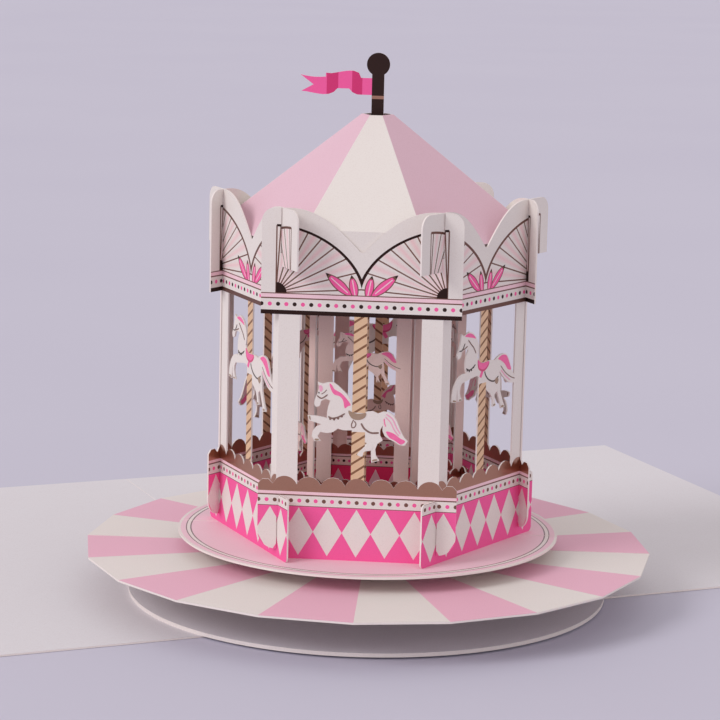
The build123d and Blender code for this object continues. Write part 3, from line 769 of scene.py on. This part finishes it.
class POPUP_OT_horse_prints(bpy.types.Operator):
    """Lays the manes, saddles, straps and tails on both faces of each panel's horse"""
    bl_idname = "popup.horse_prints"
    bl_label = "Print the horses"

    def execute(self, context):
        finishes = [self.ink_finish(context.scene.carousel_inks, ink) for ink in HORSE_INKS]
        for place, angle, side in panel_places():
            piece = self.lay(context, f"outer_horse_print_{place}", OUTER_RING, side, angle, finishes)
            piece = self.lay(context, f"inner_horse_print_{place}", INNER_RING, side, angle, finishes)
        return {"FINISHED"}

    def ink_finish(self, inks, ink):
        """Material of one ink, a little faded in spots."""
        finish = Finish(f"horse_ink_{ink}")
        fade = finish.noise(INK_GRAIN) * INK_FADE
        return finish.paper(finish.mix(fade, getattr(inks, ink), inks.white))

    def lay(self, context, name, ring, side, angle, finishes):
        """Print of one horse, on both faces of the ring's sheet that stands at that angle."""
        ink = context.scene.carousel_print.ink_height / MM
        half = PANEL_THICKNESS / 2
        scale, level, horse = ring["scale"], ring[side]["level"], HORSES[ring[side]["horse"]]
        mesh = bmesh.new()
        for step, (colour, outline) in enumerate(horse_outlines(horse)):
            placed = [Vector((scale * p.x, level + scale * p.y, 0)) for p in outline]
            proud = ink * (1 + PRINT_STEP * (step % PRINT_LEVELS))
            raise_print(mesh, placed, half - ink, half + proud, HORSE_INKS.index(colour))
            raise_print(mesh, placed, -half - proud, -half + ink, HORSE_INKS.index(colour))
        bmesh.ops.recalc_face_normals(mesh, faces=mesh.faces)
        data = bpy.data.meshes.new(name)
        mesh.to_mesh(data)
        mesh.free()
        for material in finishes:
            data.materials.append(material)
        out = Vector((cos(radians(angle)), sin(radians(angle)), 0))
        along = Vector((-sin(radians(angle)), cos(radians(angle)), 0))
        turn = Matrix((along, Vector(UP), out)).transposed().to_4x4()
        stand = Matrix.Translation(out * ring["apothem"] * MM + Vector((0, 0, PLATE_TOP)))
        data.transform(stand @ turn @ Matrix.Scale(MM, 4))
        piece = bpy.data.objects.new(name, data)
        context.scene.collection.objects.link(piece)
        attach(piece, "root")
        return piece


# Camera, with its angles in degrees and its offset from the disc's middle in its own directions
CAMERA_AZIMUTH = 2.487 + DISC_TURN
CAMERA_ELEVATION = 10.487
CAMERA_ROLL = 1.306
CAMERA_OFFSET = Vector((-2.339, 58.958, 837.075)) * MM
FOCAL_PIXELS = 2616.1
PICTURE_PIXELS = 720
SENSOR = 36.0

# Lamps, each with its turn to the right of the camera, its elevation and its spread in degrees
KEY_LAMP = (-56, 34, 24)
FILL_LAMP = (48, 28, 60)

# Floor, with the scale of its clouds and the share of their tint
FLOOR_RADIUS = 9.0
FLOOR_SEGMENTS = 96
FLOOR_DROP = 0.1 * MM
FLOOR_CLOUDS = 4.0
FLOOR_TINT = srgb(224, 220, 232)
FLOOR_SHARE = 0.2
FLOOR_ROUGHNESS = 0.85


def bearing(azimuth, elevation):
    """Direction of what stands at an azimuth to the right of the front and at an elevation, in radians."""
    return Vector((sin(azimuth) * cos(elevation), -cos(azimuth) * cos(elevation), sin(elevation)))


class POPUP_OT_stage(bpy.types.Operator):
    """Sets the pale floor, the soft lights and the camera"""
    bl_idname = "popup.stage"
    bl_label = "Set the stage"

    def execute(self, context):
        stage = context.scene.carousel_stage
        self.floor(context, stage)
        self.sky(context, stage)
        self.lamp(context, "key_light", *KEY_LAMP, stage.key)
        self.lamp(context, "fill_light", *FILL_LAMP, stage.fill)
        self.camera(context)
        context.scene.view_settings.view_transform = "Standard"
        return {"FINISHED"}

    def floor(self, context, stage):
        """Wide round floor just under the card."""
        mesh = bmesh.new()
        bmesh.ops.create_circle(mesh, cap_ends=True, radius=FLOOR_RADIUS, segments=FLOOR_SEGMENTS)
        data = bpy.data.meshes.new("floor")
        mesh.to_mesh(data)
        mesh.free()
        floor = bpy.data.objects.new("floor", data)
        floor.location.z = -FLOOR_DROP
        context.scene.collection.objects.link(floor)
        finish = Finish("floor_paint")
        colour = finish.mix(finish.noise(FLOOR_CLOUDS) * FLOOR_SHARE, stage.floor, FLOOR_TINT, "MULTIPLY")
        shader = finish.node("ShaderNodeBsdfPrincipled", {},
                             {"Base Color": colour, "Roughness": FLOOR_ROUGHNESS})
        finish.node("ShaderNodeOutputMaterial", {}, {"Surface": finish.wire(shader)})
        data.materials.append(finish.material)

    def sky(self, context, stage):
        """Even light all round, which the camera and shiny surfaces see as a pale backdrop."""
        world = bpy.data.worlds.new("even_light")
        world.use_nodes = True
        nodes = Nodes(world.node_tree)
        path = nodes.node("ShaderNodeLightPath")
        seen = nodes.wire(path, "Is Camera Ray").either(nodes.wire(path, "Is Glossy Ray"))
        seen = seen.either(nodes.wire(path, "Is Transmission Ray"))
        colour = nodes.mix(seen, stage.even_light, stage.backdrop)
        background = nodes.node("ShaderNodeBackground", {}, {"Color": colour})
        nodes.node("ShaderNodeOutputWorld", {}, {"Surface": nodes.wire(background)})
        context.scene.world = world

    def lamp(self, context, name, turn, elevation, spread, strength):
        """Soft light from a turn to the right of the camera and an elevation."""
        data = bpy.data.lights.new(name, "SUN")
        data.angle = radians(spread)
        data.energy = strength
        lamp = bpy.data.objects.new(name, data)
        context.scene.collection.objects.link(lamp)
        lamp.location = bearing(radians(CAMERA_AZIMUTH + turn), radians(elevation))
        lamp.rotation_euler = (-lamp.location).to_track_quat("-Z", "Y").to_euler()

    def camera(self, context):
        """Camera that was fitted to the photograph, with a little roll."""
        azimuth, elevation, roll = (radians(v) for v in (CAMERA_AZIMUTH, CAMERA_ELEVATION, CAMERA_ROLL))
        back = bearing(azimuth, elevation)
        level = Vector(UP).cross(back).normalized()
        upright = back.cross(level)
        right = level * cos(roll) + upright * sin(roll)
        up = upright * cos(roll) - level * sin(roll)
        turn = Matrix((right, up, back)).transposed()
        data = bpy.data.cameras.new("camera")
        data.sensor_width = SENSOR
        data.lens = FOCAL_PIXELS / PICTURE_PIXELS * SENSOR
        camera = bpy.data.objects.new("camera", data)
        context.scene.collection.objects.link(camera)
        stand = Matrix.Translation(turn @ CAMERA_OFFSET + Vector((0, 0, DISC_TOP)))
        camera.matrix_world = stand @ turn.to_4x4()
        context.scene.camera = camera


class POPUP_PT_sidebar(bpy.types.Panel):
    """Lists the card's inks, print sizes and stage, and the buttons of its operators"""
    bl_label = "Pop Up Card"
    bl_space_type = "VIEW_3D"
    bl_region_type = "UI"
    bl_category = "Pop Up Card"

    def draw(self, context):
        scene = context.scene
        for group in (scene.carousel_inks, scene.carousel_print, scene.carousel_stage):
            box = self.layout.box()
            for key in group.__annotations__:
                box.prop(group, key)
        for operator in OPERATORS:
            self.layout.operator(operator.bl_idname)


OPERATORS = (POPUP_OT_white_card, POPUP_OT_floor, POPUP_OT_outer_panels, POPUP_OT_inner_panels,
             POPUP_OT_horse_prints, POPUP_OT_roof, POPUP_OT_mast, POPUP_OT_stage)
CLASSES = (CarouselInks, CarouselPrint, CarouselStage, *OPERATORS, POPUP_PT_sidebar)


def register():
    for item in CLASSES:
        bpy.utils.register_class(item)
    bpy.types.Scene.carousel_inks = PointerProperty(type=CarouselInks)
    bpy.types.Scene.carousel_print = PointerProperty(type=CarouselPrint)
    bpy.types.Scene.carousel_stage = PointerProperty(type=CarouselStage)


def unregister():
    del bpy.types.Scene.carousel_stage
    del bpy.types.Scene.carousel_print
    del bpy.types.Scene.carousel_inks
    for item in reversed(CLASSES):
        bpy.utils.unregister_class(item)


def main():
    register()
    bpy.ops.popup.white_card()
    bpy.ops.popup.floor()
    bpy.ops.popup.outer_panels()
    bpy.ops.popup.inner_panels()
    bpy.ops.popup.horse_prints()
    bpy.ops.popup.roof()
    bpy.ops.popup.mast()
    bpy.ops.popup.stage()


if __name__ == "__main__":
    main()
